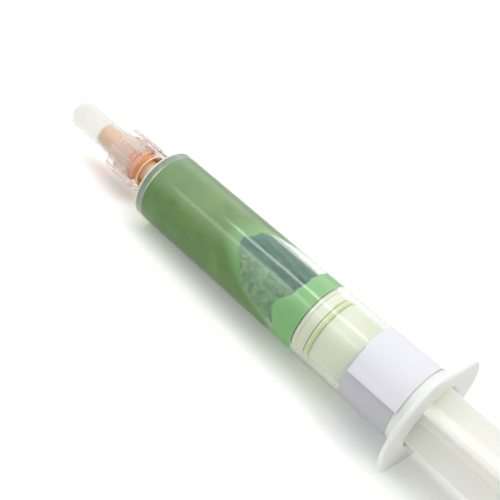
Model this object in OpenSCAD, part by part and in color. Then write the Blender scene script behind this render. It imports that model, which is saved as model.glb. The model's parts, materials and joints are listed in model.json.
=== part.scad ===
// Pre-filled diamond paste syringe, lying as it comes to rest on a table.
// A natural polypropylene barrel holds a green charge with an air pocket. A one-piece plunger with a ring
// seal closes its rear. An amber luer hub with a spinning lock collar and a rounded cap closes its front.
// Millimetres. Every sub-part is drawn along the syringe's own axis, X from the rear face of the finger
// flange towards the tip. at_rest() then lays it on the floor, Z = 0, with +X towards the tip.

/* [Barrel] */
// Outside diameter of the barrel tube
barrel_od = 14; // [12:0.1:17]
// Wall thickness of the barrel tube
barrel_wall = 0.85; // [0.6:0.05:1.2]
// Length from the rear face of the flange to the front shoulder
barrel_len = 64.8; // [56:0.1:90]
// Thickness of the front wall round the nozzle hole
front_wall = 1.0; // [0.8:0.1:2.5]
// Depth of the cone inside the front wall
end_cone = 0.6; // [0.4:0.1:2]
// Rounding of the front shoulder
shoulder_round = 0.6; // [0.3:0.1:1.4]
// Lead-in chamfer at the rear mouth of the bore
mouth_chamfer = 0.4; // [0.1:0.05:0.6]
// How far the bead that holds the plunger in stands into the bore
bead_height = 0.22; // [0.1:0.02:0.3]
// Place of that bead ahead of the rear face of the flange
bead_x = 2.8; // [1.8:0.1:6]

/* [Finger flange] */
// Diameter of the flange over its round sides
flange_d = 23.2; // [20:0.1:32]
// Distance across the two anti-roll flats
flange_flats = 19.3; // [17.4:0.1:22]
// Thickness of the flange
flange_t = 1.0; // [0.7:0.1:2]
// Rounding of the rim of the flange
rim_round = 0.35; // [0.1:0.05:0.45]
// Fillet between the flange and the tube
root_fillet = 0.8; // [0.3:0.1:1.2]

/* [Nozzle] */
// Diameter of the barrel's own slip nozzle at its root
spigot_d = 4.4; // [4:0.1:4.8]
// Length of the barrel's own slip nozzle
spigot_len = 6.4; // [5:0.1:7.5]
// Bore through the nozzle and the hub
nozzle_bore = 1.9; // [1.2:0.1:2.4]
// Diameter of the thick rear end of the amber hub
hub_d = 6.8; // [6.4:0.1:8]
// Length of that thick rear end
hub_base_len = 3.9; // [3:0.1:5]
// Diameter of the neck that the lock collar turns on
journal_d = 5.6; // [5.4:0.1:5.9]
// Diameter of the snap ridge that keeps the collar on the hub
snap_d = 6.3; // [6.2:0.05:6.5]
// Length of the snap ridge
snap_len = 1.0; // [0.8:0.1:1.4]
// Diameter of the male luer at its tip
luer_tip_d = 4.0; // [3.9:0.05:4.1]
// Length of the male luer ahead of the snap ridge
luer_len = 9.5; // [9:0.1:13]

/* [Lock collar] */
// Diameter over the ribs of the collar
collar_d = 9.4; // [9.4:0.1:11]
// Height of the ribs
rib_h = 0.35; // [0.2:0.05:0.5]
// Number of ribs
rib_count = 8; // [6:1:12]
// Width of each rib round the collar, in degrees
rib_angle = 20; // [12:1:24]
// Length of the collar
collar_len = 7.1; // [6.5:0.1:10]
// Thickness of the rear wall of the collar
collar_back = 1.7; // [1:0.1:2]
// Diameter of the threaded cavity
cavity_d = 7.9; // [7.8:0.05:8]
// Chamfer at both ends of the ribs
collar_chamfer = 0.3; // [0.1:0.05:0.5]

/* [Tip cap] */
// Diameter of the rounded nose
nose_d = 5.4; // [5.2:0.1:5.8]
// How far the nose stands out of the collar
nose_out = 14.4; // [11:0.1:18]
// Diameter of the skirt inside the collar
skirt_d = 6.6; // [6.3:0.1:6.8]
// Diameter over the two thread lugs
lug_d = 7.7; // [7.5:0.05:7.7]
// Length of the lugs along the axis
lug_len = 1.4; // [0.8:0.1:2]
// Width of each lug, in degrees
lug_angle = 60; // [40:5:80]

/* [Plunger] */
// Place of the front lip of the piston head ahead of the rear face of the flange
head_x = 24.7; // [16:0.1:32]
// Length of the piston head
head_len = 12.6; // [8:0.1:14]
// Depth of the core-out behind the piston head
core_depth = 7.2; // [1:0.1:7.4]
// Width of each sealing lip
lip_w = 0.7; // [0.4:0.05:1]
// How far the lips stand out of the head
lip_h = 0.25; // [0.1:0.05:0.4]
// Span of the cross ribs of the rod
rod_span = 11.3; // [9.5:0.1:11.4]
// Thickness of the ribs at the axis
rod_root = 1.5; // [1.2:0.1:2]
// Thickness of the ribs at their edge
rod_edge = 1.1; // [0.8:0.1:1.2]
// Diameter of the round core that the ribs stand on
rod_core_d = 4; // [3:0.1:5]
// Rounding of the ribs' edges and of the discs' rims
rib_round = 0.3; // [0.1:0.05:0.3]
// Thickness of the stiffening discs on the rod
disc_t = 0.9; // [0.6:0.1:1.4]
// Number of stiffening discs
disc_count = 1; // [1:1:4]
// Diameter of the thumb rest
thumb_d = 17.2; // [14:0.1:18.5]
// Thickness of the thumb rest
thumb_t = 1.6; // [1.2:0.1:2.4]
// Rounding of the rim of the thumb rest
thumb_round = 0.55; // [0.2:0.05:0.55]
// Depth of the dish in the thumb rest
dish_depth = 0.4; // [0.2:0.05:0.6]
// Diameter of the dish in the thumb rest
dish_d = 11; // [8:0.1:12]
// Room left between the thumb rest and the flange with the plunger pressed home
thumb_room = 5.4; // [4:0.1:9]
// Turn of the cross ribs about the axis, from upright
rod_turn = 55; // [0:1:90]

/* [Ring seal] */
// Thickness of the ring seal
seal_t = 1.1; // [0.9:0.05:1.3]
// Place of the ring behind the front lip
seal_back = 3.3; // [2.4:0.1:3.8]

/* [Paste] */
// Depth of the solid band of paste against the plunger
band_len = 5.3; // [3:0.1:8]
// Length of the air pocket in front of the band
pocket_len = 12; // [6:0.1:14]
// Slope of the floor of the pocket against the axis
pocket_slope = 30; // [24:1:40]
// Radius that the floor of the pocket is dished to
pocket_dish = 26; // [20:1:60]
// Turn of the pocket about the axis, from straight up
pocket_turn = 35; // [-90:1:90]

/* [Label] */
// Width of the paper label along the barrel
label_w = 10.1; // [6:0.1:10.5]
// Gap between the flange and the label
label_gap = 2.5; // [2:0.1:4]
// Thickness of the paper
label_t = 0.1; // [0.06:0.01:0.15]
// Turn of the label's free edge about the axis, from straight up
label_turn = 85; // [0:1:180]
// How far the label overlaps itself round the barrel, in degrees
label_lap = 90; // [30:5:150]

/* [Clearances] */
// Radial gap between the lips or the ring seal and the bore
seal_gap = 0.04; // [0.02:0.01:0.08]
// Gap between the paste and what holds it
paste_gap = 0.05; // [0.02:0.01:0.1]
// Radial gap of the collar on its neck
journal_gap = 0.1; // [0.05:0.01:0.15]
// Gap along the axis beside the collar and the cap
end_gap = 0.3; // [0.2:0.05:0.5]
// Radial gap in both luer tapers
taper_gap = 0.03; // [0.01:0.01:0.05]
// Gap beside the ring in its groove
groove_gap = 0.1; // [0.05:0.01:0.15]
// Gap between the paper and the tube
label_fit = 0.02; // [0.01:0.01:0.05]

/* [Hidden] */
$fn = 96;

luer_taper = 0.03;                 // radius lost for each millimetre of a 6 % luer taper
step = 0.01;                       // how far a cutter runs past the face it opens

tube_r = barrel_od / 2;
bore_r = tube_r - barrel_wall;
bore_end_x = barrel_len - front_wall - end_cone;
spigot_r = spigot_d / 2;
spigot_tip_r = spigot_r - luer_taper * spigot_len;
bore_hole_r = nozzle_bore / 2;
bead_r = 2 * bead_height;

hub_neck_x = barrel_len + hub_base_len;
hub_chamfer = 0.25;
collar_x = hub_neck_x + end_gap;
snap_x = collar_x + collar_back + end_gap;
snap_land = snap_len / 3;
luer_x = snap_x + snap_len;
luer_end_x = luer_x + luer_len;
luer_tip_r = luer_tip_d / 2;
luer_root_r = luer_tip_r + luer_taper * luer_len;
luer_round = 0.2;

collar_end_x = collar_x + collar_len;
cap_x = luer_x + end_gap;
nose_r = nose_d / 2;
nose_end_x = collar_end_x + nose_out;
skirt_cone = (skirt_d - nose_d) / 2;
skirt_end_x = collar_end_x - end_gap - skirt_cone;

lip_r = bore_r - seal_gap;
head_r = lip_r - lip_h;
head_rear_x = head_x - head_len;
seal_r = seal_t / 2;
seal_x = head_x - seal_back;
seal_ring_r = lip_r - seal_r;
groove_r = lip_r - seal_t - seal_gap / 2;
stroke = bore_end_x - head_x - end_gap;
thumb_front_x = -stroke - thumb_room;
thumb_rear_x = thumb_front_x - thumb_t;
thumb_r = thumb_d / 2;
rod_r = rod_span / 2;
core_wall = 0.6;
rod_end_x = head_rear_x + core_depth;
disc_pitch = -thumb_front_x / (disc_count + 1);
dish_round = 0.3;
gusset = 2.2;

paste_r = bore_r - paste_gap;
pocket_rear_x = head_x + band_len;
pocket_tip_x = pocket_rear_x + pocket_len;
pocket_chord = pocket_len / cos(pocket_slope);
pocket_sag = pocket_dish - sqrt(pow(pocket_dish, 2) - pow(pocket_chord / 2, 2));
pocket_low = bore_r - pocket_len * tan(pocket_slope);

label_x = flange_t + label_gap;
label_in_r = tube_r + label_fit;
lap_r = label_in_r + label_t;

// The syringe rests on the front edge of the flange's lower flat and on its rounded shoulder.
flat_r = flange_flats / 2;
rest_run = barrel_len - shoulder_round - flange_t;
rest_drop = flat_r - tube_r + shoulder_round;
rest_tilt = atan2(rest_drop, rest_run) - asin(shoulder_round / norm([rest_run, rest_drop]));
rest_height = flange_t * sin(rest_tilt) + flat_r * cos(rest_tilt);
front_reach = (nose_end_x - nose_r) * cos(rest_tilt) + nose_r;
rear_reach = (thumb_rear_x + thumb_round) * cos(rest_tilt)
    - (thumb_r - thumb_round) * sin(rest_tilt) - thumb_round;
rest_shift = -(front_reach + rear_reach) / 2;

// Lays what is drawn along the syringe's axis on the floor, with the middle of its length at the origin
module at_rest() {
    translate([rest_shift, 0, rest_height])
        rotate([0, rest_tilt, 0])
            children();
}

// Turns a half section, drawn as [radius, place along the axis], about the syringe's axis
module turned(angle = 360) {
    rotate([0, 90, 0])
        rotate_extrude(angle = angle)
            children();
}

// Half section of a plain ring
module band_section(r0, r1, x0, x1) {
    translate([r0, x0])
        square([r1 - r0, x1 - x0]);
}

// Half section of a solid disc or post, with its outer corners rounded at the rear, the front or both
module post_section(r, x0, x1, rear_round, front_round) {
    rear_x = x0 + rear_round;
    front_x = x1 - front_round;
    band_section(0, r, rear_x, front_x);
    if (rear_round > 0) {
        band_section(0, r - rear_round, x0, rear_x);
        intersection() {
            translate([r - rear_round, rear_x])
                circle(rear_round);
            band_section(0, r, x0, rear_x);
        }
    }
    if (front_round > 0) {
        band_section(0, r - front_round, front_x, x1);
        intersection() {
            translate([r - front_round, front_x])
                circle(front_round);
            band_section(0, r, front_x, x1);
        }
    }
}

// Barrel

module finger_flange() {
    intersection() {
        turned()
            post_section(flange_d / 2, 0, flange_t, rim_round, rim_round);
        translate([-flange_t, -flange_d, -flat_r])
            cube([3 * flange_t, 2 * flange_d, flange_flats]);
    }
    turned()
        difference() {
            band_section(bore_r + step, tube_r + root_fillet, step, flange_t + root_fillet);
            translate([tube_r + root_fillet, flange_t + root_fillet])
                circle(root_fillet);
        }
}

module slip_nozzle() {
    turned()
        polygon([
            [0, barrel_len - front_wall],
            [spigot_r, barrel_len - front_wall],
            [spigot_r, barrel_len],
            [spigot_tip_r, barrel_len + spigot_len],
            [0, barrel_len + spigot_len]
        ]);
}

module bore() {
    turned()
        polygon([
            [0, -step],
            [bore_r + mouth_chamfer, -step],
            [bore_r, mouth_chamfer],
            [bore_r, bore_end_x],
            [bore_hole_r, bore_end_x + end_cone],
            [bore_hole_r, barrel_len + spigot_len + step],
            [0, barrel_len + spigot_len + step]
        ]);
}

module barrel() {
    color([0.90, 0.93, 0.88, 0.5])
        at_rest() {
            difference() {
                union() {
                    turned()
                        post_section(tube_r, 0, barrel_len, 0, shoulder_round);
                    finger_flange();
                    slip_nozzle();
                }
                bore();
            }
            turned()
                translate([bore_r + bead_r - bead_height, bead_x])
                    circle(bead_r);
        }
}

// Amber nozzle hub: female luer over the barrel's own nozzle, neck for the collar, male luer for the cap

module nozzle_hub() {
    socket_r = spigot_r + taper_gap;
    color([0.80, 0.36, 0.12])
        at_rest()
            difference() {
                turned()
                    polygon([
                        [0, barrel_len],
                        [hub_d / 2 - hub_chamfer, barrel_len],
                        [hub_d / 2, barrel_len + hub_chamfer],
                        [hub_d / 2, hub_neck_x - hub_chamfer],
                        [hub_d / 2 - hub_chamfer, hub_neck_x],
                        [journal_d / 2, hub_neck_x],
                        [journal_d / 2, snap_x],
                        [snap_d / 2, snap_x],
                        [snap_d / 2, snap_x + snap_land],
                        [luer_root_r, luer_x],
                        [luer_tip_r + luer_taper * luer_round, luer_end_x - luer_round],
                        [luer_tip_r - luer_round, luer_end_x],
                        [0, luer_end_x]
                    ]);
                turned()
                    polygon([
                        [0, barrel_len - step],
                        [socket_r, barrel_len - step],
                        [socket_r - luer_taper * spigot_len, barrel_len + spigot_len + taper_gap],
                        [bore_hole_r, barrel_len + spigot_len + taper_gap],
                        [bore_hole_r, luer_end_x + step],
                        [0, luer_end_x + step]
                    ]);
            }
}

// Lock collar: ribbed sleeve that spins on the hub's neck

module collar_outline() {
    valley_r = collar_d / 2 - rib_h;
    half = rib_angle / 2;
    circle(valley_r);
    intersection() {
        circle(collar_d / 2);
        for (k = [0 : rib_count - 1])
            rotate(k * 360 / rib_count)
                polygon([
                    [0, 0],
                    [collar_d * cos(half), -collar_d * sin(half)],
                    [collar_d * cos(half), collar_d * sin(half)]
                ]);
    }
}

module lock_collar() {
    rib_r = collar_d / 2;
    hole_r = journal_d / 2 + journal_gap;
    color([0.95, 0.90, 0.87, 0.4])
        at_rest()
            difference() {
                intersection() {
                    translate([collar_x, 0, 0])
                        rotate([0, 90, 0])
                            linear_extrude(collar_len)
                                collar_outline();
                    turned()
                        polygon([
                            [0, collar_x],
                            [rib_r - collar_chamfer, collar_x],
                            [rib_r + step, collar_x + collar_chamfer],
                            [rib_r + step, collar_end_x - collar_chamfer],
                            [rib_r - collar_chamfer, collar_end_x],
                            [0, collar_end_x]
                        ]);
                }
                turned() {
                    band_section(0, hole_r, collar_x - step, collar_end_x);
                    band_section(0, cavity_d / 2, collar_x + collar_back, collar_end_x + step);
                }
            }
}

// Tip cap: female luer with two lugs in the collar's thread, and a rounded nose

module tip_cap() {
    mouth_r = luer_root_r - luer_taper * end_gap + taper_gap;
    socket_end_x = luer_end_x + end_gap;
    socket_end_r = mouth_r - luer_taper * (socket_end_x - cap_x);
    color([0.95, 0.95, 0.92, 0.8])
        at_rest()
            difference() {
                union() {
                    turned()
                        polygon([
                            [0, cap_x],
                            [skirt_d / 2, cap_x],
                            [skirt_d / 2, skirt_end_x],
                            [nose_r, skirt_end_x + skirt_cone],
                            [nose_r, nose_end_x - nose_r],
                            [0, nose_end_x - nose_r]
                        ]);
                    translate([nose_end_x - nose_r, 0, 0])
                        sphere(nose_r);
                    for (side = [0, 180])
                        rotate([side - lug_angle / 2, 0, 0])
                            turned(lug_angle)
                                band_section(skirt_d / 2 - step, lug_d / 2, cap_x, cap_x + lug_len);
                }
                turned()
                    polygon([
                        [0, cap_x - step],
                        [mouth_r, cap_x - step],
                        [socket_end_r, socket_end_x],
                        [0, socket_end_x]
                    ]);
            }
}

// Plunger: piston head with two lips and a groove, cross-ribbed rod, thumb rest

module piston_head() {
    groove_half = seal_r + groove_gap;
    difference() {
        turned()
            polygon([
                [0, head_rear_x],
                [lip_r, head_rear_x],
                [lip_r, head_rear_x + lip_w],
                [head_r, head_rear_x + lip_w + lip_h],
                [head_r, seal_x - groove_half],
                [groove_r, seal_x - groove_half],
                [groove_r, seal_x + groove_half],
                [head_r, seal_x + groove_half],
                [head_r, head_x - lip_w - lip_h],
                [lip_r, head_x - lip_w],
                [lip_r, head_x - lip_h],
                [lip_r - lip_h, head_x],
                [bore_hole_r, head_x + end_cone],
                [0, head_x + end_cone]
            ]);
        turned()
            band_section(0, groove_r - core_wall, head_rear_x - step, rod_end_x);
    }
}

module cross_section() {
    shoulder = rod_r - rib_round;
    land = rod_edge / 2 - rib_round;
    circle(rod_core_d / 2);
    for (k = [0 : 3])
        rotate(90 * k) {
            polygon([
                [0, -rod_root / 2],
                [shoulder, -rod_edge / 2],
                [rod_r, -land],
                [rod_r, land],
                [shoulder, rod_edge / 2],
                [0, rod_root / 2]
            ]);
            for (side = [-1, 1])
                translate([shoulder, side * land])
                    circle(rib_round);
        }
}

module rod_disc(x) {
    turned()
        post_section(rod_r, x - disc_t / 2, x + disc_t / 2, rib_round, rib_round);
}

module rod() {
    translate([thumb_front_x - step, 0, 0])
        rotate([0, 90, 0])
            linear_extrude(rod_end_x - thumb_front_x + 2 * step)
                cross_section();
    for (k = [1 : disc_count])
        rod_disc(thumb_front_x + k * disc_pitch);
    turned()
        polygon([
            [0, thumb_front_x - step],
            [rod_r, thumb_front_x - step],
            [rod_r, thumb_front_x],
            [rod_core_d / 2, thumb_front_x + gusset],
            [0, thumb_front_x + gusset]
        ]);
}

module thumb_rest() {
    difference() {
        turned()
            post_section(thumb_r, thumb_rear_x, thumb_front_x, thumb_round, thumb_round);
        turned()
            polygon([
                [0, thumb_rear_x - step],
                [dish_d / 2 + dish_round, thumb_rear_x - step],
                [dish_d / 2, thumb_rear_x + dish_depth],
                [0, thumb_rear_x + dish_depth]
            ]);
    }
}

module plunger() {
    color([0.93, 0.93, 0.88])
        at_rest()
            rotate([-rod_turn, 0, 0]) {
                piston_head();
                rod();
                thumb_rest();
            }
}

module seal_ring() {
    color([0.86, 0.92, 0.60])
        at_rest()
            turned()
                translate([seal_ring_r, seal_x])
                    circle(seal_r);
}

// Paste: a plug shaped to the head and the front cone, with the air pocket that shows through the wall

module air_pocket() {
    rotate([-pocket_turn, 0, 0])
        intersection() {
            translate([pocket_rear_x, -barrel_od, -barrel_od])
                cube([2 * pocket_len, 2 * barrel_od, 2 * barrel_od]);
            translate([(pocket_rear_x + pocket_tip_x) / 2, 0, (pocket_low + bore_r) / 2])
                rotate([0, -pocket_slope, 0])
                    translate([0, 0, pocket_dish - pocket_sag])
                        rotate([90, 0, 0])
                            cylinder(r = pocket_dish, h = 2 * barrel_od, center = true);
        }
}

module paste() {
    color([0.36, 0.62, 0.30])
        at_rest()
            difference() {
                turned()
                    polygon([
                        [0, head_x + end_cone + paste_gap],
                        [bore_hole_r, head_x + end_cone + paste_gap],
                        [paste_r, head_x + paste_gap],
                        [paste_r, bore_end_x - paste_gap],
                        [bore_hole_r, bore_end_x + end_cone - paste_gap],
                        [0, bore_end_x + end_cone - paste_gap]
                    ]);
                air_pocket();
            }
}

// Label: one turn of paper and the stretch that overlaps it

module label() {
    color([0.96, 0.96, 0.98])
        at_rest() {
            turned()
                band_section(label_in_r, lap_r, label_x, label_x + label_w);
            rotate([180 - label_turn, 0, 0])
                turned(label_lap)
                    band_section(lap_r - step, lap_r + label_t, label_x, label_x + label_w);
        }
}

barrel();
nozzle_hub();
lock_collar();
tip_cap();
plunger();
seal_ring();
paste();
label();
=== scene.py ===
import json
import math
import bpy
from mathutils import Matrix, Quaternion, Vector, noise


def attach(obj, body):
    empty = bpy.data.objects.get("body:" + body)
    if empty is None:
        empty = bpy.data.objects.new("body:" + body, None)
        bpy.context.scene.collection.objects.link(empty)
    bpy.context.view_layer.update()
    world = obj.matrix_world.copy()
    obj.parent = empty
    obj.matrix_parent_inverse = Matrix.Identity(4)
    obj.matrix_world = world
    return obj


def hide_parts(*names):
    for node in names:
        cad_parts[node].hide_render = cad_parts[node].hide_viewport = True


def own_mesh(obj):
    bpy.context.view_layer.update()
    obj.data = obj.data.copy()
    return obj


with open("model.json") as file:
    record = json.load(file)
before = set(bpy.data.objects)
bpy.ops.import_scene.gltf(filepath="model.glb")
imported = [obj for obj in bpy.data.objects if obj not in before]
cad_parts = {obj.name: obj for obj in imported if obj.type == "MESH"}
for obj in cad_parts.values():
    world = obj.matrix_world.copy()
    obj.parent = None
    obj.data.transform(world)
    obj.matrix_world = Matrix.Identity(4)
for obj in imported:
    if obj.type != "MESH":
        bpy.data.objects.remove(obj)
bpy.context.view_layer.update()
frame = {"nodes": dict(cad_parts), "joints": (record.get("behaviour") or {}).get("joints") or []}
print("frame loaded")


def jointCalled(name):
    return next(joint for joint in frame["joints"] if joint["name"] == name)


# Everything below is drawn in millimetres along the syringe's own line, X from the rear face of the
# finger flange to the tip, and layDown then puts it where the CAD has it.
millimetre = 0.001
perMetre = 1000
mergeGap = 0.002  # points closer than this become one, in millimetres
plungerTurn = jointCalled("plunger_turn")
lineStart = Vector(plungerTurn["pos_m"])
lineWay = Vector(plungerTurn["axis"]).normalized()
acrossWay = Vector((0, 1, 0))
upWay = lineWay.cross(acrossWay)
layDown = (Matrix.Translation(lineStart)
           @ Matrix((lineWay, acrossWay, upWay)).transposed().to_4x4()
           @ Matrix.Scale(millimetre, 4))


def roundLine(x, r, turn):
    # turn is counted from straight up towards +Y
    return Vector((x, r * math.sin(turn), r * math.cos(turn)))


def ease(value, low, high):
    share = min(max((value - low) / (high - low), 0.0), 1.0)
    return share * share * (3 - 2 * share)


def between(a, b, share):
    return a + (b - a) * share


def hump(value, middle, half):
    return math.exp(-((value - middle) / half) ** 2)


def softMin(a, b, blend):
    share = min(max(0.5 + 0.5 * (b - a) / blend, 0.0), 1.0)
    return between(b, a, share) - blend * share * (1 - share)


def turnApart(turn, degrees):
    # how far turn, in radians, is from degrees, as degrees from -180 to 180
    return (math.degrees(turn) - degrees + 180) % 360 - 180


def waveAt(wave, a, b, c=1.0):
    # uneven but the same each time; where only two places are given, the third of often picks the pattern
    often, high = wave
    return noise.noise(Vector((a * often[0], b * often[1], c * often[2]))) * high


def roundCorners(corners, arcSteps):
    # corners are (x, r, rounding) round a closed section
    path = []
    for index, (x, r, rounding) in enumerate(corners):
        here = Vector((x, r))
        before = Vector(corners[index - 1][:2])
        after = Vector(corners[(index + 1) % len(corners)][:2])
        if rounding <= 0:
            path.append((x, r))
            continue
        toBefore = (before - here).normalized()
        toAfter = (after - here).normalized()
        half = toBefore.angle(toAfter) / 2
        reach = rounding / math.tan(half)
        middle = here + (toBefore + toAfter).normalized() * (rounding / math.sin(half))
        first = here + toBefore * reach - middle
        last = here + toAfter * reach - middle
        for step in range(arcSteps + 1):
            spot = first.lerp(last, step / arcSteps).normalized() * rounding + middle
            path.append((spot.x, spot.y))
    return path


def cutUp(path, longest, closed=True):
    # adds points so that no stretch of a section is longer than longest
    made = []
    count = len(path) if closed else len(path) - 1
    for index in range(count):
        a, b = Vector(path[index]), Vector(path[(index + 1) % len(path)])
        pieces = max(1, math.ceil((b - a).length / longest))
        made += [tuple(a.lerp(b, step / pieces)) for step in range(pieces)]
    if not closed:
        made.append(path[-1])
    return made


def gridFaces(rows, columns):
    # the quads of a grid whose points were added row by row
    across = columns + 1
    corners = [row * across + column for row in range(rows) for column in range(columns)]
    return [(corner, corner + 1, corner + across + 1, corner + across) for corner in corners]


def makeMesh(name, points, faces):
    mesh = bpy.data.meshes.new(name)
    mesh.from_pydata([layDown @ point for point in points], [], faces)
    mesh.validate()
    piece = bpy.data.objects.new(name, mesh)
    bpy.context.scene.collection.objects.link(piece)
    return piece


def revolve(name, section, steps, shape=None):
    # turns a closed section about the line; shape may move a point by its turn
    points = []
    for step in range(steps):
        turn = 2 * math.pi * step / steps
        for x, r in section:
            points.append(roundLine(*(shape(x, r, turn) if shape else (x, r)), turn))
    count = len(section)
    faces = []
    for step in range(steps):
        here, there = step * count, (step + 1) % steps * count
        for index in range(count):
            following = (index + 1) % count
            faces.append((here + index, there + index, there + following, here + following))
    return makeMesh(name, points, faces)


def smoothFaces(piece, sharpAngle):
    mesh = piece.data
    mesh.polygons.foreach_set("use_smooth", [True] * len(mesh.polygons))
    mesh.set_sharp_from_angle(angle=math.radians(sharpAngle))


def tidyMesh(piece):
    bpy.ops.object.select_all(action="DESELECT")
    bpy.context.view_layer.objects.active = piece
    piece.select_set(True)
    bpy.ops.object.mode_set(mode="EDIT")
    bpy.ops.mesh.select_all(action="SELECT")
    bpy.ops.mesh.remove_doubles(threshold=mergeGap * millimetre)
    bpy.ops.mesh.normals_make_consistent(inside=False)
    bpy.ops.object.mode_set(mode="OBJECT")
    piece.select_set(False)


def fitPiece(piece, body, material, sharpAngle, standsFor=()):
    tidyMesh(piece)
    smoothFaces(piece, sharpAngle)
    piece.data.materials.append(material)
    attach(piece, body)
    if standsFor:
        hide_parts(*standsFor)


def giveFaces(piece, material, chosen):
    # chosen is told the middle of a face as its x, radius and turn on the line
    piece.data.materials.append(material)
    index = len(piece.data.materials) - 1
    toLine = layDown.inverted()
    for face in piece.data.polygons:
        middle = toLine @ face.center
        if chosen(middle.x, math.hypot(middle.y, middle.z), math.atan2(middle.y, middle.z)):
            face.material_index = index


# Shader help: put adds a node and sets or links its inputs by name or number
def put(tree, kind, values=None, **settings):
    node = tree.nodes.new(kind)
    for setting, value in settings.items():
        setattr(node, setting, value)
    for name, value in (values or {}).items():
        if isinstance(value, bpy.types.NodeSocket):
            tree.links.new(value, node.inputs[name])
        else:
            node.inputs[name].default_value = value
    return node


def newGroup(name, inputs, outputs):
    group = bpy.data.node_groups.new(name, "ShaderNodeTree")
    for socketName, kind, value in inputs:
        socket = group.interface.new_socket(socketName, in_out="INPUT", socket_type=kind)
        socket.default_value = value
    for socketName, kind in outputs:
        group.interface.new_socket(socketName, in_out="OUTPUT", socket_type=kind)
    entry = group.nodes.new("NodeGroupInput")
    leave = group.nodes.new("NodeGroupOutput")
    return group, entry, leave


def times(tree, a, b):
    return put(tree, "ShaderNodeMath", {0: a, 1: b}, operation="MULTIPLY").outputs[0]


def ramp(tree, value, low, high, start=0.0, end=1.0, curve="LINEAR"):
    # start where value is low or less, end where it is high or more
    inputs = {"Value": value, "From Min": low, "From Max": high, "To Min": start, "To Max": end}
    return put(tree, "ShaderNodeMapRange", inputs, interpolation_type=curve).outputs["Result"]


def mixColours(tree, share, a, b):
    # a and b are colours or sockets
    mix = put(tree, "ShaderNodeMix", {0: share}, data_type="RGBA")
    for socket, value in ((mix.inputs[6], a), (mix.inputs[7], b)):
        if isinstance(value, bpy.types.NodeSocket):
            tree.links.new(value, socket)
        else:
            socket.default_value = (*value, 1)
    return mix.outputs[2]


def darker(colour, share):
    return [part * share for part in colour]


def noiseOver(tree, place, grain):
    # grain has the settings of the noise, by the names of its inputs
    return put(tree, "ShaderNodeTexNoise", {"Vector": place} | grain).outputs["Fac"]


def inMillimetres(tree, stretch=(1.0, 1.0, 1.0)):
    spot = put(tree, "ShaderNodeTexCoord").outputs["Object"]
    scale = tuple(perMetre * value for value in stretch)
    return put(tree, "ShaderNodeMapping", {"Vector": spot, "Scale": scale}).outputs["Vector"]


def newMaterial(name):
    material = bpy.data.materials.new(name)
    material.use_nodes = True
    tree = material.node_tree
    tree.nodes.clear()
    return material, tree


def finishMaterial(tree, shader):
    put(tree, "ShaderNodeOutputMaterial", {"Surface": shader})


def letLightThrough(tree, plastic, tint):
    # lamps and scattered light pass straight through this wall, tinted, instead of as noise
    rays = put(tree, "ShaderNodeLightPath")
    clear = put(tree, "ShaderNodeBsdfTransparent", {"Color": tint})
    for ray in ("Is Shadow Ray", "Is Diffuse Ray"):
        mix = put(tree, "ShaderNodeMixShader", {0: rays.outputs[ray], 1: plastic, 2: clear.outputs[0]})
        plastic = mix.outputs[0]
    return plastic


# Flow lines, drawn out along the syringe, and fine pitting of a moulded surface, used by every plastic.
# roughRange is where the two together run from the least to the greatest roughness.
skinLook = {"drawnOut": (0.12, 1.0, 1.0), "flow": {"Detail": 4.0, "Roughness": 0.6},
            "fine": {"Detail": 3.0, "Roughness": 0.55}, "cloud": {"Detail": 2.0},
            "roughRange": (0.12, 0.4), "depth": 0.02 * millimetre}


def buildMouldSkin():
    group, entry, leave = newGroup(
        "mouldSkin",
        [("Fine", "NodeSocketFloat", 5.0), ("Flow", "NodeSocketFloat", 0.35),
         ("Low", "NodeSocketFloat", 0.1), ("High", "NodeSocketFloat", 0.2)],
        [("Roughness", "NodeSocketFloat"), ("Height", "NodeSocketFloat")])
    drawnOut = inMillimetres(group, skinLook["drawnOut"])
    flow = noiseOver(group, drawnOut, {"Scale": entry.outputs["Flow"]} | skinLook["flow"])
    fine = noiseOver(group, inMillimetres(group), {"Scale": entry.outputs["Fine"]} | skinLook["fine"])
    both = times(group, flow, fine)
    rough = ramp(group, both, *skinLook["roughRange"], entry.outputs["Low"], entry.outputs["High"])
    height = put(group, "ShaderNodeMath", {0: flow, 1: both}, operation="ADD").outputs[0]
    group.links.new(rough, leave.inputs["Roughness"])
    group.links.new(height, leave.inputs["Height"])
    return group


mouldSkin = buildMouldSkin()


def plasticMaterial(name, look):
    material, tree = newMaterial(name)
    low, high = look["rough"]
    skin = put(tree, "ShaderNodeGroup", {"Fine": look["fine"], "Flow": look["flow"], "Low": low,
                                         "High": high}, node_tree=mouldSkin)
    bump = put(tree, "ShaderNodeBump", {"Height": skin.outputs["Height"], "Strength": look["bump"],
                                        "Distance": skinLook["depth"]})
    clouds = noiseOver(tree, inMillimetres(tree), {"Scale": look["cloud"]} | skinLook["cloud"])
    colour = mixColours(tree, clouds, darker(look["colour"], look["cloudDepth"]), look["colour"])
    if look.get("tipColour"):  # the plastic is thinner towards the tip
        tipward = put(tree, "ShaderNodeAttribute", attribute_name="tipward").outputs["Fac"]
        colour = mixColours(tree, tipward, colour, look["tipColour"])
    values = {"Base Color": colour, "Roughness": skin.outputs["Roughness"], "Normal": bump.outputs["Normal"],
              "IOR": look["ior"], "Transmission Weight": look["clear"]}
    if look.get("scatter"):
        values |= {"Subsurface Weight": look["scatter"], "Subsurface Radius": look["scatterTint"],
                   "Subsurface Scale": look["scatterDepth"] * millimetre}
    shader = put(tree, "ShaderNodeBsdfPrincipled", values).outputs[0]
    if look.get("lightTint"):
        shader = letLightThrough(tree, shader, (*look["lightTint"], 1))
    finishMaterial(tree, shader)
    return material


print("tools ready")

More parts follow.
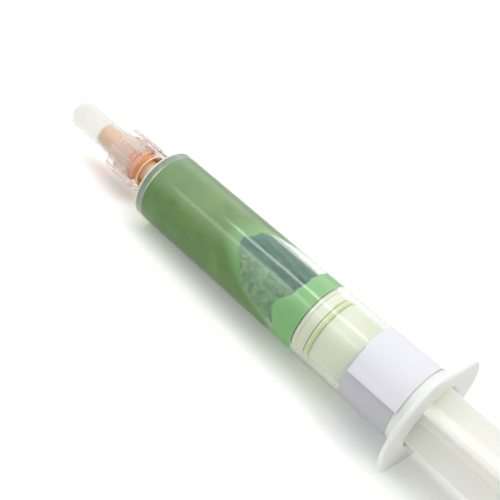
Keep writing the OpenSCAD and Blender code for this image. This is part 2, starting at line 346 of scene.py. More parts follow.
# Camera, set where the photographer stood: place and target on the syringe's line, roll in degrees
cameraView = {"place": (-31.41, 132.04, 85.67), "target": (41.86, 0.8, 1.99), "roll": 28.2,
              "lens": 71.7, "sensor": 36, "clip": (0.01, 20)}


def makeCamera():
    data = bpy.data.cameras.new("camera")
    data.sensor_width = cameraView["sensor"]
    data.lens = cameraView["lens"]
    data.clip_start, data.clip_end = cameraView["clip"]
    camera = bpy.data.objects.new("camera", data)
    bpy.context.scene.collection.objects.link(camera)
    place = layDown @ Vector(cameraView["place"])
    target = layDown @ Vector(cameraView["target"])
    camera.rotation_mode = "QUATERNION"
    camera.location = place
    roll = Quaternion((0, 0, 1), math.radians(cameraView["roll"]))
    camera.rotation_quaternion = (target - place).to_track_quat("-Z", "Y") @ roll
    bpy.context.scene.camera = camera


makeCamera()

# Lamps: two broad boxes for the light itself, and two strips that draw the lines along the barrel.
# Each stands far metres from lampAim along way, and bright is how bright it is, whatever its size.
lampAim = (0.008, 0, 0.008)
lampSet = {
    "farBox": {"way": (-0.1, -0.2, 0.97), "far": 0.9, "size": (0.5, 0.5), "bright": 3.8,
               "mirrored": False},
    "crossBox": {"way": (0.5, 0.25, 0.83), "far": 0.8, "size": (0.5, 1.3), "bright": 1.35,
                 "mirrored": False},
    "narrowStrip": {"way": (0.40, 0.215, 0.89), "far": 0.5, "size": (0.12, 0.065), "bright": 6.5,
                    "mirrored": True},
    "wideStrip": {"way": (0.42, 0.66, 0.62), "far": 0.6, "size": (0.20, 0.10), "bright": 2.2,
                  "mirrored": True},
}
# The tent is a soft white sheet over the room that only glossy rays see. Its near side (+Y) and its far
# side each fade out between two turns from straight up, and it starts at a lean towards the tip.
worldLook = {"roomTint": (0.98, 0.99, 1.0, 1), "lights": 0.38, "seen": 1.0, "tent": 1.9,
             "tentNear": (48.0, 98.0), "tentFar": (-85.0, -45.0), "tentLean": (0.30, 0.38)}
# lift is how much of its white the table shows by itself, and it rises to farLift with the distance
floorLook = {"halfWidth": 2.0, "albedo": 0.95, "lift": 0.17, "farLift": 1.0, "farFrom": 0.25, "farTo": 0.8}


def makeLamps():
    for name, lamp in lampSet.items():
        data = bpy.data.lights.new(name, "AREA")
        data.shape = "RECTANGLE"
        data.size, data.size_y = lamp["size"]
        data.energy = lamp["bright"] * math.pi * data.size * data.size_y
        light = bpy.data.objects.new(name, data)
        bpy.context.scene.collection.objects.link(light)
        way = Vector(lamp["way"]).normalized()
        light.location = Vector(lampAim) + way * lamp["far"]
        # the first side of a lamp runs with the syringe
        sideways = lineWay - way * lineWay.dot(way)
        sideways.normalize()
        turned = Matrix((sideways, way.cross(sideways), way)).transposed()
        light.rotation_mode = "QUATERNION"
        light.rotation_quaternion = turned.to_quaternion()
        light.visible_camera = False
        light.visible_glossy = lamp["mirrored"]


def seenDirectly(tree):
    # 1 for the rays that show the background: the camera's own, and those through or off the plastic
    rays = put(tree, "ShaderNodeLightPath")
    seen = rays.outputs["Is Camera Ray"]
    for ray in ("Is Glossy Ray", "Is Transmission Ray"):
        seen = put(tree, "ShaderNodeMath", {0: seen, 1: rays.outputs[ray]}, operation="MAXIMUM").outputs[0]
    return seen


def makeWorld():
    look = worldLook
    world = bpy.data.worlds.new("whiteRoom")
    world.use_nodes = True
    bpy.context.scene.world = world
    tree = world.node_tree
    tree.nodes.clear()
    room = put(tree, "ShaderNodeBackground", {"Color": look["roomTint"], "Strength": look["lights"]})
    view = put(tree, "ShaderNodeTexCoord").outputs["Generated"]
    way = put(tree, "ShaderNodeSeparateXYZ", {"Vector": view}).outputs
    turn = put(tree, "ShaderNodeMath", {0: way["Y"], 1: way["Z"]}, operation="ARCTAN2").outputs[0]
    nearFrom, nearTo = [math.radians(value) for value in look["tentNear"]]
    farFrom, farTo = [math.radians(value) for value in look["tentFar"]]
    nearSide = ramp(tree, turn, nearFrom, nearTo, 1.0, 0.0, curve="SMOOTHSTEP")
    farSide = ramp(tree, turn, farFrom, farTo, curve="SMOOTHSTEP")
    lean = ramp(tree, way["X"], *look["tentLean"], curve="SMOOTHSTEP")
    tent = times(tree, times(tree, nearSide, farSide), lean)
    mirrored = times(tree, tent, put(tree, "ShaderNodeLightPath").outputs["Is Glossy Ray"])
    level = put(tree, "ShaderNodeMath", {0: mirrored, 1: look["tent"], 2: look["seen"]},
                operation="MULTIPLY_ADD")
    white = put(tree, "ShaderNodeBackground", {"Color": (1, 1, 1, 1), "Strength": level.outputs[0]})
    mix = put(tree, "ShaderNodeMixShader", {0: seenDirectly(tree), 1: room.outputs[0], 2: white.outputs[0]})
    put(tree, "ShaderNodeOutputWorld", {"Surface": mix.outputs[0]})


def makeFloor():
    look = floorLook
    half = look["halfWidth"]
    mesh = bpy.data.meshes.new("floor")
    corners = [(-half, -half, 0), (half, -half, 0), (half, half, 0), (-half, half, 0)]
    mesh.from_pydata(corners, [], [(0, 1, 2, 3)])
    floor = bpy.data.objects.new("floor", mesh)
    bpy.context.scene.collection.objects.link(floor)
    material, tree = newMaterial("whiteTable")
    paint = put(tree, "ShaderNodeBsdfDiffuse", {"Color": (*[look["albedo"]] * 3, 1)})
    # beyond the lamps' reach the table fades into the white of the room
    spot = put(tree, "ShaderNodeTexCoord").outputs["Object"]
    away = put(tree, "ShaderNodeVectorMath", {0: spot}, operation="LENGTH").outputs["Value"]
    level = ramp(tree, away, look["farFrom"], look["farTo"], look["lift"], look["farLift"],
                 curve="SMOOTHSTEP")
    lift = times(tree, seenDirectly(tree), level)
    glow = put(tree, "ShaderNodeEmission", {"Color": (1, 1, 1, 1), "Strength": lift})
    both = put(tree, "ShaderNodeAddShader", {0: paint.outputs[0], 1: glow.outputs[0]})
    finishMaterial(tree, both.outputs[0])
    mesh.materials.append(material)


makeLamps()
makeWorld()
makeFloor()
bpy.context.scene.view_settings.view_transform = "Standard"
print("camera, lamps and table ready")

# Barrel: tube, finger flange with two flats, front wall and slip nozzle in one moulding
barrelSize = {
    "tubeR": 7.0, "boreR": 6.15, "length": 64.8, "boreEnd": 63.2, "coneDepth": 0.6,
    "flangeR": 11.6, "flatR": 9.65, "flangeT": 1.0, "rim": 0.35, "rootFillet": 0.8, "flatBlend": 0.5,
    "mouth": 0.4, "mouthRound": 0.15, "beadX": 2.8, "beadHalf": 0.36, "beadHeight": 0.22, "beadRound": 0.2,
    "endRound": 0.35, "coneRound": 0.2, "shoulderRound": 0.6, "edgeRound": 0.1,
    "nozzleR": 2.2, "nozzleTipR": 2.008, "nozzleEnd": 71.2, "nozzleBore": 0.95, "nozzleRound": 0.15,
    "longest": 4.0, "steps": 192, "skin": 0.1,
}
# where the barrel looks milky, frosted or oiled: places along it, turns from straight up, and the radius
# milkyFrom
barrelZones = {"milkyFrom": 7.1, "milkyBefore": 3.7, "frostBeyond": 63.0,
               "oiledTurn": 57.0, "oiledHalf": 56.0, "oiledTo": 64.3, "dryBefore": 43.0}
barrelLook = {"colour": (0.96, 0.97, 0.94), "clear": 1.0, "ior": 1.49, "rough": (0.06, 0.1), "bump": 0.02,
              "fine": 4.0, "flow": 0.3, "cloud": 0.25, "cloudDepth": 0.98, "lightTint": (0.92, 0.94, 0.86)}
flangeLook = {"colour": (0.93, 0.935, 0.9), "clear": 0.0, "ior": 1.49, "rough": (0.3, 0.34), "bump": 0.0,
              "fine": 4.0, "flow": 0.3, "cloud": 0.25, "cloudDepth": 0.97, "lightTint": (0.9, 0.92, 0.87),
              "scatter": 0.5, "scatterTint": (1.0, 0.97, 0.9), "scatterDepth": 1.0}
boreLook = barrelLook | {"ior": 1.06}
frostLook = barrelLook | {"colour": (0.97, 0.925, 0.81), "clear": 0.32, "rough": (0.26, 0.34), "ior": 1.4}


def makeBarrel():
    size, zone = barrelSize, barrelZones
    corners = [
        (0, size["boreR"] + size["mouth"], size["edgeRound"]),
        (size["mouth"], size["boreR"], size["mouthRound"]),
        (size["beadX"] - size["beadHalf"], size["boreR"], size["edgeRound"]),
        (size["beadX"], size["boreR"] - size["beadHeight"], size["beadRound"]),
        (size["beadX"] + size["beadHalf"], size["boreR"], size["edgeRound"]),
        (zone["milkyBefore"], size["boreR"], 0),
        (size["boreEnd"], size["boreR"], size["endRound"]),
        (size["boreEnd"] + size["coneDepth"], size["nozzleBore"], size["coneRound"]),
        (size["nozzleEnd"], size["nozzleBore"], 0),
        (size["nozzleEnd"], size["nozzleTipR"], size["edgeRound"]),
        (size["length"], size["nozzleR"], size["nozzleRound"]),
        (size["length"], size["tubeR"], size["shoulderRound"]),
        (zone["milkyBefore"], size["tubeR"], 0),
        (size["flangeT"], size["tubeR"], size["rootFillet"]),
        (size["flangeT"], size["flangeR"], size["rim"]),
        (0, size["flangeR"], size["rim"]),
    ]
    rootR = size["tubeR"] + size["rootFillet"]
    innerR = size["boreR"] + size["skin"]

    def flats(x, r, turn):
        if r <= rootR:
            return x, r
        flat = size["flatR"] / max(abs(math.cos(turn)), 0.1)  # 0.1 only keeps it from dividing by nothing
        reach = softMin(size["flangeR"], flat, size["flatBlend"])
        return x, rootR + (r - rootR) * (reach - rootR) / (size["flangeR"] - rootR)

    def isMilky(x, r, turn):
        return r > zone["milkyFrom"] or x < zone["milkyBefore"]

    def isFrosted(x, r, turn):
        return x > size["length"] - size["skin"] or x > zone["frostBeyond"] and r > innerR

    def isOiled(x, r, turn):
        onBore = zone["milkyBefore"] < x < zone["oiledTo"] and r < innerR
        nearPocket = abs(turnApart(turn, zone["oiledTurn"])) < zone["oiledHalf"]
        return onBore and (nearPocket or x > zone["dryBefore"])

    section = cutUp(roundCorners(corners, 8), size["longest"])
    piece = revolve("barrelMoulding", section, size["steps"], flats)
    fitPiece(piece, "barrel", plasticMaterial("naturalPlastic", barrelLook), 40, ["barrel"])
    # the thick places are looked at through more of the plastic, which shows them milkier
    giveFaces(piece, plasticMaterial("milkyNaturalPlastic", flangeLook), isMilky)
    giveFaces(piece, plasticMaterial("frostedNaturalPlastic", frostLook), isFrosted)
    # the paste has left its oil on the bore, which takes most of the shine off it
    giveFaces(piece, plasticMaterial("oiledNaturalPlastic", boreLook), isOiled)
    print("barrel made")


makeBarrel()

# Amber hub: a flared mouth over the nozzle, the neck for the collar, the snap ridge and the male luer
hubSize = {
    "rim": 68.4, "rimEnd": 68.6, "rimR": 3.45, "rimRound": 0.08, "mouthR": 3.2, "mouthRound": 0.06,
    "throat": 69.2, "throatR": 2.5, "throatRound": 0.2, "socket": 70.6, "socketR": 2.25, "socketRound": 0.3,
    "socketEnd": 71.25, "socketEndR": 2.04, "neck": 68.7, "neckR": 2.8,
    "snap": 71.0, "snapR": 3.15, "snapEnd": 71.33, "snapRound": 0.05,
    "luer": 72.0, "luerR": 2.285, "luerEnd": 81.5, "luerTipR": 2.0, "luerRound": 0.2, "holeR": 0.95,
    "tipFrom": 73.0, "tipTo": 79.0, "longest": 0.8, "steps": 144, "skin": 0.05,
}
hubLook = {"colour": (0.95, 0.40, 0.12), "clear": 0.15, "ior": 1.5, "rough": (0.12, 0.22), "bump": 0.2,
           "fine": 6.0, "flow": 0.5, "cloud": 0.6, "cloudDepth": 0.85, "lightTint": (0.85, 0.55, 0.3),
           "tipColour": (1.0, 0.38, 0.0)}
# the rim's pale cream is a painted highlight, not the amber's own colour
hubRimHighlightLook = hubLook | {"colour": (1.0, 0.82, 0.62), "clear": 0.0, "tipColour": None, "cloudDepth": 0.97}


def makeHub():
    size = hubSize
    corners = [
        (size["rim"], size["mouthR"], size["mouthRound"]),
        (size["rim"], size["rimR"], size["rimRound"]),
        (size["neck"], size["rimR"], size["rimRound"]),
        (size["neck"], size["neckR"], 0),
        (size["snap"], size["neckR"], 0),
        (size["snap"], size["snapR"], size["snapRound"]),
        (size["snapEnd"], size["snapR"], size["snapRound"]),
        (size["luer"], size["luerR"], 0),
        (size["luerEnd"], size["luerTipR"], size["luerRound"]),
        (size["luerEnd"], size["holeR"], 0),
        (size["socketEnd"], size["holeR"], 0),
        (size["socketEnd"], size["socketEndR"], 0),
        (size["socket"], size["socketR"], size["socketRound"]),
        (size["throat"], size["throatR"], size["throatRound"]),
    ]

    def isHighlightRim(x, r, turn):
        return x < size["rimEnd"] and r > size["mouthR"] - size["skin"]

    section = cutUp(roundCorners(corners, 4), size["longest"])
    piece = revolve("nozzleHubMoulding", section, size["steps"])
    toLine = layDown.inverted()
    tipward = piece.data.attributes.new("tipward", "FLOAT", "POINT")
    for vertex in piece.data.vertices:
        tipward.data[vertex.index].value = ease((toLine @ vertex.co).x, size["tipFrom"], size["tipTo"])
    fitPiece(piece, "barrel", plasticMaterial("amberPlastic", hubLook), 40, ["nozzle_hub"])
    # the thin rim of the mouth is painted pale cream, a painted highlight where the light catches its edge
    giveFaces(piece, plasticMaterial("amberRimPaintedHighlight", hubRimHighlightLook), isHighlightRim)
    print("hub made")


makeHub()

# Plunger and ring keep their CAD shapes and take new finishes
plungerLook = {"colour": (0.985, 0.975, 0.885), "clear": 0.0, "ior": 1.49, "rough": (0.28, 0.4),
               "bump": 0.2, "fine": 5.0, "flow": 0.35, "cloud": 0.2, "cloudDepth": 0.97,
               "scatter": 0.6, "scatterTint": (1.0, 0.95, 0.8), "scatterDepth": 2.0}
ringLook = {"colour": (0.85, 0.885, 0.60), "clear": 0.0, "ior": 1.45, "rough": (0.35, 0.5),
            "bump": 0.3, "fine": 8.0, "flow": 0.5, "cloud": 0.5, "cloudDepth": 0.93}


def paintNode(nodeName, material):
    for slot in frame["nodes"][nodeName].material_slots:
        slot.material = material


paintNode("plunger", plasticMaterial("plungerPlastic", plungerLook))
paintNode("seal_ring", plasticMaterial("ringRubber", ringLook))
print("plunger and ring painted")

# Lock collar: ribbed outside, right-hand double-start thread inside. ribHalf, ribEdge and ribAt are in
# degrees; how far in a rib is milky and painted pale as a highlight, and how much of a ridge is flat, are
# shares.
collarSize = {
    "start": 69.0, "end": 76.1, "holeR": 2.9, "backEnd": 70.7, "cavityR": 3.95, "chamfer": 0.3,
    "ribR": 4.7, "ribHeight": 0.35, "ribCount": 8, "ribHalf": 9.0, "ribEdge": 3.0, "ribAt": 31.0,
    "ribMilkAndHighlight": 0.7, "lead": 5.0, "starts": 2, "ridgeHalf": 0.7, "ridgeFlat": 0.4, "ridgeHeight": 0.15,
    "ridgeAt": 74.25, "ridgeRise": 0.3, "ridgeFall": 0.5, "longest": 0.1, "steps": 288, "skin": 0.05,
}
# the pinkish tint of this clear plastic is painted light: the amber hub's glow spread through the collar
collarLook = {"colour": (0.95, 0.87, 0.83), "clear": 0.74, "ior": 1.12, "rough": (0.1, 0.14), "bump": 0.03,
              "fine": 3.0, "flow": 0.4, "cloud": 0.3, "cloudDepth": 0.99, "lightTint": (0.95, 0.92, 0.9)}
collarInsideLook = collarLook | {"clear": 1.0, "ior": 1.04}
collarRibMilkAndHighlightLook = collarLook | {"colour": (0.97, 0.92, 0.89), "clear": 0.68}


def makeCollar():
    size = collarSize
    hole = [(size["start"], size["holeR"]), (size["backEnd"], size["holeR"])]
    cavity = [(size["backEnd"], size["cavityR"]), (size["end"], size["cavityR"])]
    outside = roundCorners([
        (size["end"], size["cavityR"], 0),
        (size["end"], size["ribR"], size["chamfer"]),
        (size["start"], size["ribR"], size["chamfer"]),
        (size["start"], size["holeR"], 0),
    ], 4)
    # the two ends of outside are in the cavity and the hole already
    section = hole + cutUp(cavity, size["longest"], False) + outside[1:-1]
    ribStep = 360 / size["ribCount"]
    pitch = size["lead"] / size["starts"]

    def ribs(r, turn):
        away = abs((math.degrees(turn) - size["ribAt"] + ribStep / 2) % ribStep - ribStep / 2)
        valley = ease(away, size["ribHalf"] - size["ribEdge"] / 2, size["ribHalf"] + size["ribEdge"] / 2)
        return r - size["ribHeight"] * valley

    def thread(x, r, turn):
        centre = size["ridgeAt"] - size["lead"] * math.degrees(turn) / 360
        away = abs((x - centre + pitch / 2) % pitch - pitch / 2)
        ridge = 1 - ease(away, size["ridgeHalf"] * size["ridgeFlat"], size["ridgeHalf"])
        rise = ease(x, size["backEnd"], size["backEnd"] + size["ridgeRise"])
        fall = 1 - ease(x, size["end"] - size["ridgeFall"], size["end"])
        return r - size["ridgeHeight"] * ridge * (rise * fall)

    def shape(x, r, turn):
        if r > size["cavityR"] + size["skin"]:
            return x, ribs(r, turn)
        if r > size["holeR"] + size["skin"]:
            return x, thread(x, r, turn)
        return x, r

    def isInside(x, r, turn):
        return r < size["cavityR"] + size["skin"]

    def isRib(x, r, turn):
        return r > size["ribR"] - size["ribHeight"] * size["ribMilkAndHighlight"]

    piece = revolve("lockCollarMoulding", section, size["steps"], shape)
    fitPiece(piece, "lock_collar", plasticMaterial("clearPlastic", collarLook), 40,
             ["lock_collar"])
    # the thread is hardly to be made out through the ribs, which are milkier than the thin wall between
    # them; their paler colour is partly a painted highlight, as if the light caught each rib
    giveFaces(piece, plasticMaterial("clearPlasticInside", collarInsideLook), isInside)
    giveFaces(piece, plasticMaterial("clearPlasticRibMilkAndHighlight", collarRibMilkAndHighlightLook), isRib)
    print("lock collar made")


makeCollar()

# Tip cap: luer socket, skirt with two helical lugs, round nose. noseStep, lugTurn and lugRamp are in
# degrees, and the skirt has close points over lugReach for the lugs to stand on.
capSize = {
    "start": 72.3, "skirtR": 3.3, "skirtEnd": 75.2, "noseR": 2.7, "noseStart": 75.8, "noseEnd": 90.5,
    "mouthR": 2.306, "socketEnd": 81.8, "socketTipR": 2.021, "noseStep": 5, "lead": 5.0,
    "lugR": 3.82, "lugAt": 73.0, "lugHalf": 0.28, "lugSide": 0.1, "lugTurn": 30.0, "lugRamp": 3.0,
    "lugReach": 1.6, "longest": 0.06, "steps": 240, "skin": 0.01,
}
capLook = {"colour": (0.88, 0.875, 0.825), "clear": 0.7, "ior": 1.15, "rough": (0.1, 0.14), "bump": 0.05,
           "fine": 5.0, "flow": 0.4, "cloud": 0.35, "cloudDepth": 0.97, "lightTint": (0.93, 0.93, 0.9)}


def makeCap():
    size = capSize
    lugsEnd = size["start"] + size["lugReach"]
    skirt = cutUp([(size["start"], size["skirtR"]), (lugsEnd, size["skirtR"])], size["longest"], False)
    noseMiddle = size["noseEnd"] - size["noseR"]
    nose = []
    for degrees in range(0, 90, size["noseStep"]):
        turn = math.radians(degrees)
        nose.append((noseMiddle + size["noseR"] * math.sin(turn), size["noseR"] * math.cos(turn)))
    section = [(size["start"], size["mouthR"])] + skirt
    section += [(size["skirtEnd"], size["skirtR"]), (size["noseStart"], size["noseR"])] + nose
    section += [(size["noseEnd"], 0.0), (size["socketEnd"], 0.0), (size["socketEnd"], size["socketTipR"])]

    def lugs(x, r, turn):
        if abs(r - size["skirtR"]) > size["skin"] or x > lugsEnd:
            return x, r
        fromMiddle = min(turnApart(turn, 0), turnApart(turn, 180), key=abs)
        centre = size["lugAt"] - size["lead"] * fromMiddle / 360
        side = 1 - ease(abs(x - centre), size["lugHalf"], size["lugHalf"] + size["lugSide"])
        end = 1 - ease(abs(fromMiddle), size["lugTurn"] - size["lugRamp"], size["lugTurn"])
        return x, r + (size["lugR"] - size["skirtR"]) * side * end

    piece = revolve("tipCapMoulding", section, size["steps"], lugs)
    fitPiece(piece, "tip_cap", plasticMaterial("milkyPlastic", capLook), 40, ["tip_cap"])
    print("tip cap made")


makeCap()

# Paper label: one sheet wound 450 degrees, its outer end lifting a little at the free edge. edgeTurn, lap,
# liftSpan, ramp, rampBefore and calm are in degrees round the barrel.
labelSize = {
    "tubeR": 7.0, "gap": 0.02, "thick": 0.1, "layerGap": 0.01, "start": 3.5, "width": 10.1, "skew": 0.35,
    "edgeTurn": 81.5, "lap": 90.0, "lift": 0.22, "liftSpan": 16.0, "ramp": 10.0, "rampBefore": 2.0,
    "wave": ((0.35, 0.03, 2.0), 0.012), "calm": 1, "steps": 300, "rows": 24,
}
# the grey field covers fieldTurns of the sheet, in degrees from its free edge
labelLook = {"paper": (0.87, 0.86, 0.92), "field": (0.60, 0.595, 0.645), "fieldTurns": (260.0, 398.0),
             "fieldEdge": 2.0, "paperDepth": 0.95, "fieldDepth": 0.92, "rough": 0.62, "bump": 0.25,
             "fibres": {"Scale": 3.5, "Detail": 8.0, "Roughness": 0.7},
             "clouds": {"Scale": 0.3, "Detail": 2.0}}


def makeLabel():
    size = labelSize
    whole = 360 + size["lap"]
    base = size["tubeR"] + size["gap"]

    def sheetR(wound):
        # wound is counted from the free edge, in degrees round the barrel
        onTop = 1 - ease(wound, size["lap"] - size["rampBefore"], size["lap"] + size["ramp"])
        curl = (1 - ease(wound, 0, size["liftSpan"])) * size["lift"]
        return base + onTop * (size["thick"] + size["layerGap"]) + curl

    points, wounds = [], []
    for layer in (0.0, size["thick"]):
        for step in range(size["steps"] + 1):
            wound = whole * step / size["steps"]
            turn = math.radians(size["edgeTurn"] - wound)
            slip = -size["skew"] * (1 - min(wound / 360, 1.0))
            for row in range(size["rows"] + 1):
                x = size["start"] + slip + size["width"] * (row / size["rows"])
                wave = waveAt(size["wave"], x, wound) * (wound > size["calm"])
                points.append(roundLine(x, sheetR(wound) + layer + wave, turn))
                wounds.append(wound)
    across = size["rows"] + 1
    layerCount = (size["steps"] + 1) * across
    faces = []
    for under in gridFaces(size["steps"], size["rows"]):
        faces.append(under)
        faces.append(tuple(layerCount + index for index in reversed(under)))
    for step in range(size["steps"]):  # front and rear edges of the paper
        for row in (0, size["rows"]):
            a, b = step * across + row, (step + 1) * across + row
            faces.append((a, b, b + layerCount, a + layerCount))
    for step in (0, size["steps"]):  # its two ends
        for row in range(size["rows"]):
            a = step * across + row
            faces.append((a, a + 1, a + 1 + layerCount, a + layerCount))
    piece = makeMesh("paperLabel", points, faces)
    # how far round the flat sheet each point lies, for the grey field
    sheet = piece.data.attributes.new("sheetTurn", "FLOAT", "POINT")
    sheet.data.foreach_set("value", wounds)
    fitPiece(piece, "barrel", paperMaterial(), 50, ["label"])
    print("label made")


def paperMaterial():
    look = labelLook
    material, tree = newMaterial("labelPaper")
    wound = put(tree, "ShaderNodeAttribute", attribute_name="sheetTurn").outputs["Fac"]
    fibres = noiseOver(tree, inMillimetres(tree), look["fibres"])
    clouds = noiseOver(tree, inMillimetres(tree), look["clouds"])
    first, last = look["fieldTurns"]
    begun = ramp(tree, wound, first, first + look["fieldEdge"])
    notOver = ramp(tree, wound, last - look["fieldEdge"], last, 1.0, 0.0)
    paper = mixColours(tree, fibres, darker(look["paper"], look["paperDepth"]), look["paper"])
    field = mixColours(tree, clouds, darker(look["field"], look["fieldDepth"]), look["field"])
    colour = mixColours(tree, times(tree, begun, notOver), paper, field)
    bump = put(tree, "ShaderNodeBump", {"Height": fibres, "Strength": look["bump"],
                                        "Distance": skinLook["depth"]})
    shader = put(tree, "ShaderNodeBsdfPrincipled", {"Base Color": colour, "Roughness": look["rough"],
                                                    "Normal": bump.outputs["Normal"]})
    finishMaterial(tree, shader.outputs[0])
    return material


makeLabel()

# Paste: a plug that wets the bore, with the scooped air pocket and a wavy band against the plunger
pasteSize = {
    "wetR": 6.165, "rear": 24.75, "coneRear": 25.35, "noseR": 0.95, "front": 63.15, "coneFront": 63.75,
    "longest": 0.45, "steps": 144, "leastLeft": 0.01,
}
# The pocket opens at a turn from straight up, and runs from the band's face to the tip, where its sloping
# floor meets the bore. bulge pushes part of the band into it, and lean lowers part of its floor.
pocketSize = {
    "turn": 36.0, "bandFace": 28.5, "tip": 41.9, "slope": 24.0, "boreR": 6.15,
    "bulge": 1.9, "bulgeAt": 4.4, "bulgeHalf": 1.5, "bulgeFade": (0.5, 4.0),
    "lean": 1.0, "leanAt": 36.0, "leanHalf": 3.0, "leanSides": (0.5, 3.5),
    "swell": ((0.35, 0.35, 0.45), 0.3), "streak": ((0.25, 1.6, 7.3), 0.25), "grit": ((1.9, 1.9, 1.9), 0.12),
    "faceTop": 9.0, "lidHeight": 16.0, "pastTip": 5.0, "cutHalf": 9.0, "floorSteps": 28, "longest": 0.35,
    "softening": 10, "rows": 60,
}
# how far the fresh shade reaches ahead of the band, and the bright rim from the pocket's edge
toneSize = {"freshFade": 1.6, "rimFade": (0.3, 1.9), "rimBehind": 1.0, "noRim": 9.0, "pastTip": 4.0,
            "skin": 0.02}
# pocket and pocketPale are the dark teal of the scooped pocket: painted shade of the hollow, streaked paler
# in places
pasteLook = {"main": (0.119, 0.260, 0.062), "dark": (0.093, 0.215, 0.047), "warm": (0.153, 0.274, 0.057),
             "fresh": (0.232, 0.53, 0.205), "rim": (0.185, 0.42, 0.145), "pocket": (0.045, 0.18, 0.15),
             "pocketPale": (0.08, 0.25, 0.205), "wetGloss": 0.06, "openGloss": 0.15, "openGrit": 0.4,
             "gritDepth": 0.05}
# the noises in the paste, the stretch that draws its streaks out, and where each shade sets in and is full
pasteGrain = {"clouds": {"Scale": 0.16, "Detail": 5.0, "Roughness": 0.6, "Distortion": 0.6},
              "streaks": {"Scale": 0.55, "Detail": 6.0, "Roughness": 0.65, "Distortion": 1.2},
              "grit": {"Scale": 6.0, "Detail": 3.0}, "stretch": (0.5, 1, 1), "mainRange": (0.35, 0.65),
              "warmRange": (0.45, 0.7), "paleRange": (0.35, 0.75), "roughRange": (0.1, 1.2)}
pocketMiddle = math.radians(pocketSize["turn"])
pocketWay = Vector((0, math.sin(pocketMiddle), math.cos(pocketMiddle)))
pocketSide = Vector((0, math.cos(pocketMiddle), -math.sin(pocketMiddle)))


def pocketFloor(x):
    # height of the pocket's floor over the line, along pocketWay
    slope = math.tan(math.radians(pocketSize["slope"]))
    return pocketSize["boreR"] - (pocketSize["tip"] - x) * slope


def inPocket(x, height, side):
    return Vector((x, 0, 0)) + pocketWay * height + pocketSide * side


def makeCutter():
    # the empty space: bounded behind by the band's face and below by the slanted floor
    size = pocketSize
    farEnd = size["tip"] + size["pastTip"]
    path = [(size["bandFace"], size["faceTop"])]
    for step in range(size["floorSteps"] + 1):
        x = between(size["bandFace"], farEnd, step / size["floorSteps"])
        path.append((x, pocketFloor(x)))
    smooth = [Vector(spot) for spot in cutUp(path, size["longest"], False)]
    for _ in range(size["softening"]):  # rounds the corner between the band's face and the floor
        middles = [(smooth[i - 1] + smooth[i] * 2 + smooth[i + 1]) / 4 for i in range(1, len(smooth) - 1)]
        smooth = [smooth[0]] + middles + [smooth[-1]]
    rows, across = len(smooth), size["rows"] + 1
    sides = [between(-size["cutHalf"], size["cutHalf"], row / size["rows"]) for row in range(across)]
    fadeFrom, fadeTo = [size["bandFace"] + reach for reach in size["bulgeFade"]]
    points = []
    for index, spot in enumerate(smooth):
        before, after = smooth[max(index - 1, 0)], smooth[min(index + 1, rows - 1)]
        run = (after - before).normalized()
        outward = Vector((-run.y, run.x))  # out of the paste, into the pocket
        atBand = 1 - ease(spot.x, fadeFrom, fadeTo)
        for side in sides:
            swell = waveAt(size["swell"], spot.x, spot.y, side)
            streak = waveAt(size["streak"], spot.x, side)
            grit = waveAt(size["grit"], spot.x, spot.y, side)
            lean = ease(side, *size["leanSides"]) * hump(spot.x, size["leanAt"], size["leanHalf"])
            place = spot + outward * (swell + streak + grit - size["lean"] * lean)
            place.x += size["bulge"] * hump(side, size["bulgeAt"], size["bulgeHalf"]) * atBand
            points.append(inPocket(place.x, place.y, side))
    faces = [(a, d, c, b) for a, b, c, d in gridFaces(rows - 1, size["rows"])]
    top = len(points)
    for side in sides:
        points.append(inPocket(farEnd, size["lidHeight"], side))
        points.append(inPocket(size["bandFace"], size["lidHeight"], side))
    last = (rows - 1) * across
    for row in range(size["rows"]):
        farA, farB = top + 2 * row, top + 2 * (row + 1)
        faces.append((last + row, farA, farB, last + row + 1))
        faces.append((farA, farA + 1, farB + 1, farB))
        faces.append((farA + 1, row, row + 1, farB + 1))
    for row in (0, size["rows"]):
        faces.append([i * across + row for i in range(rows)] + [top + 2 * row, top + 2 * row + 1])
    return makeMesh("pocketSpace", points, faces)


def makePaste():
    size = pasteSize
    section = cutUp([
        (size["coneRear"], 0.0), (size["coneRear"], size["noseR"]), (size["rear"], size["wetR"]),
        (size["front"], size["wetR"]), (size["coneFront"], size["noseR"]), (size["coneFront"], 0.0),
    ], size["longest"])
    ends = (section[0], section[-1])
    section = [spot for spot in section if spot[1] > 0 or spot in ends]
    piece = revolve("greenPaste", section, size["steps"])
    tidyMesh(piece)
    cutter = makeCutter()
    tidyMesh(cutter)
    cut = piece.modifiers.new("pocket", "BOOLEAN")
    cut.operation = "DIFFERENCE"
    cut.solver = "EXACT"
    cut.object = cutter
    bpy.context.view_layer.objects.active = piece
    bpy.ops.object.modifier_apply(modifier="pocket")
    bpy.data.objects.remove(cutter)
    toneFaces(piece)
    fitPiece(piece, "barrel", pasteMaterial(), 50, ["paste"])
    squashWithPlunger(piece)
    print("paste made")


def squashWithPlunger(piece):
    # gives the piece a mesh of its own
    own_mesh(piece)


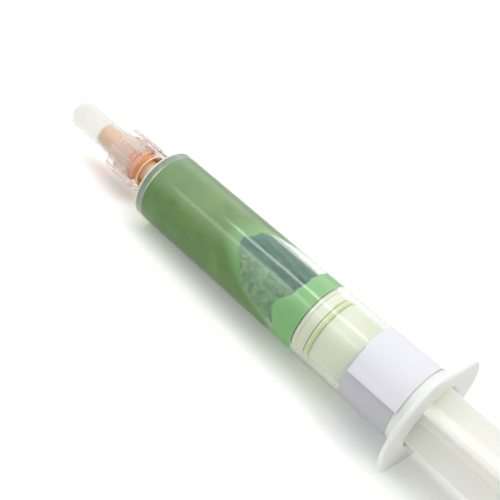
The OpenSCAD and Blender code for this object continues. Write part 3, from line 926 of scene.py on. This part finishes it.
def toneFaces(piece):
    # three shades kept on the mesh: fresh band, bright rim by the pocket, and the pocket's own surface,
    # which takes the painted shade of the hollow
    size, pocket = toneSize, pocketSize
    toLine = layDown.inverted()
    tone = piece.data.attributes.new("pasteTone", "FLOAT_VECTOR", "POINT")
    for vertex in piece.data.vertices:
        spot = toLine @ vertex.co
        height, side = spot.dot(pocketWay), spot.dot(pocketSide)
        edge = size["noRim"]
        if spot.x > pocket["bandFace"] - size["rimBehind"]:
            lie = height - pocketFloor(min(spot.x, pocket["tip"] + size["pastTip"]))
            edge = abs(lie) * math.cos(math.radians(pocket["slope"]))
        bandEnd = pocket["bandFace"] + pocket["bulge"] * hump(side, pocket["bulgeAt"], pocket["bulgeHalf"])
        fresh = 1 - ease(spot.x, bandEnd, bandEnd + size["freshFade"])
        rim = 1 - ease(edge, *size["rimFade"])
        onWall = math.hypot(spot.y, spot.z) > pasteSize["wetR"] - size["skin"]
        tone.data[vertex.index].vector = (fresh, rim if onWall else 0.0, 0.0 if onWall else 1.0)


def pasteMaterial():
    look, grain = pasteLook, pasteGrain
    material, tree = newMaterial("greenPasteSurface")
    tone = put(tree, "ShaderNodeAttribute", attribute_name="pasteTone").outputs["Vector"]
    fresh, rim, bare = put(tree, "ShaderNodeSeparateXYZ", {"Vector": tone}).outputs
    clouds = noiseOver(tree, inMillimetres(tree), grain["clouds"])
    streaks = noiseOver(tree, inMillimetres(tree, grain["stretch"]), grain["streaks"])
    grit = noiseOver(tree, inMillimetres(tree), grain["grit"])
    streaky = mixColours(tree, ramp(tree, streaks, *grain["mainRange"]), look["dark"], look["main"])
    cloudy = mixColours(tree, ramp(tree, clouds, *grain["warmRange"]), streaky, look["warm"])
    rimmed = mixColours(tree, rim, cloudy, look["rim"])
    banded = mixColours(tree, fresh, rimmed, look["fresh"])
    # the pocket's surface is darkened to teal, painted shade of the hollow
    pale = ramp(tree, streaks, *grain["paleRange"])
    pocketShade = mixColours(tree, pale, look["pocket"], look["pocketPale"])
    colour = mixColours(tree, bare, banded, pocketShade)
    # only the bare surface in the pocket is gritty, the rest lies flat against the wall
    bump = put(tree, "ShaderNodeBump", {"Height": grit, "Strength": times(tree, bare, look["openGrit"]),
                                        "Distance": look["gritDepth"] * millimetre})
    # paste against the wall has hardly a shine of its own
    gloss = ramp(tree, bare, 0.0, 1.0, look["wetGloss"], look["openGloss"])
    rough = ramp(tree, streaks, *grain["roughRange"])
    shader = put(tree, "ShaderNodeBsdfPrincipled", {"Base Color": colour, "Normal": bump.outputs["Normal"],
                                                    "Roughness": rough, "Specular IOR Level": gloss})
    finishMaterial(tree, shader.outputs[0])
    return material


makePaste()

# Smear: the thin film of paste that the pocket's lower half has left on the wall. low and high are counted
# in degrees from turn, towards the far side of the syringe, and the film fades out by fade.
smearSize = {"r": 6.135, "rear": 28.0, "front": 42.0, "turn": 57.0, "low": -70.0, "high": 16.0, "fade": 14.0,
             "ragged": ((0.5, 0.08, 3.1), 6.0), "rows": 60, "columns": 90}
smearLook = {"colour": (0.36, 0.56, 0.34), "dense": 0.72, "thin": 0.3, "rough": 0.5, "gloss": 0.1,
             "blots": {"Scale": 0.55, "Detail": 6.0, "Roughness": 0.62, "Distortion": 1.5},
             "blotRange": (0.35, 0.65)}


def makeSmear():
    size = smearSize
    points, covers = [], []
    for row in range(size["rows"] + 1):
        away = between(size["low"], size["high"], row / size["rows"])
        for column in range(size["columns"] + 1):
            x = between(size["rear"], size["front"], column / size["columns"])
            points.append(roundLine(x, size["r"], math.radians(size["turn"] - away)))
            covers.append(1 - ease(away + waveAt(size["ragged"], x, away), 0, size["fade"]))
    piece = makeMesh("pasteSmear", points, gridFaces(size["rows"], size["columns"]))
    cover = piece.data.attributes.new("smearCover", "FLOAT", "POINT")
    cover.data.foreach_set("value", covers)
    fitPiece(piece, "barrel", smearMaterial(), 60)
    squashWithPlunger(piece)
    print("smear made")


def smearMaterial():
    look = smearLook
    material, tree = newMaterial("greenPasteFilm")
    cover = put(tree, "ShaderNodeAttribute", attribute_name="smearCover").outputs["Fac"]
    blots = noiseOver(tree, inMillimetres(tree), look["blots"])
    amount = ramp(tree, blots, *look["blotRange"], look["thin"], look["dense"])
    shader = put(tree, "ShaderNodeBsdfPrincipled", {"Base Color": (*look["colour"], 1),
                                                    "Roughness": look["rough"],
                                                    "Specular IOR Level": look["gloss"],
                                                    "Alpha": times(tree, amount, cover)})
    finishMaterial(tree, shader.outputs[0])
    return material


makeSmear()
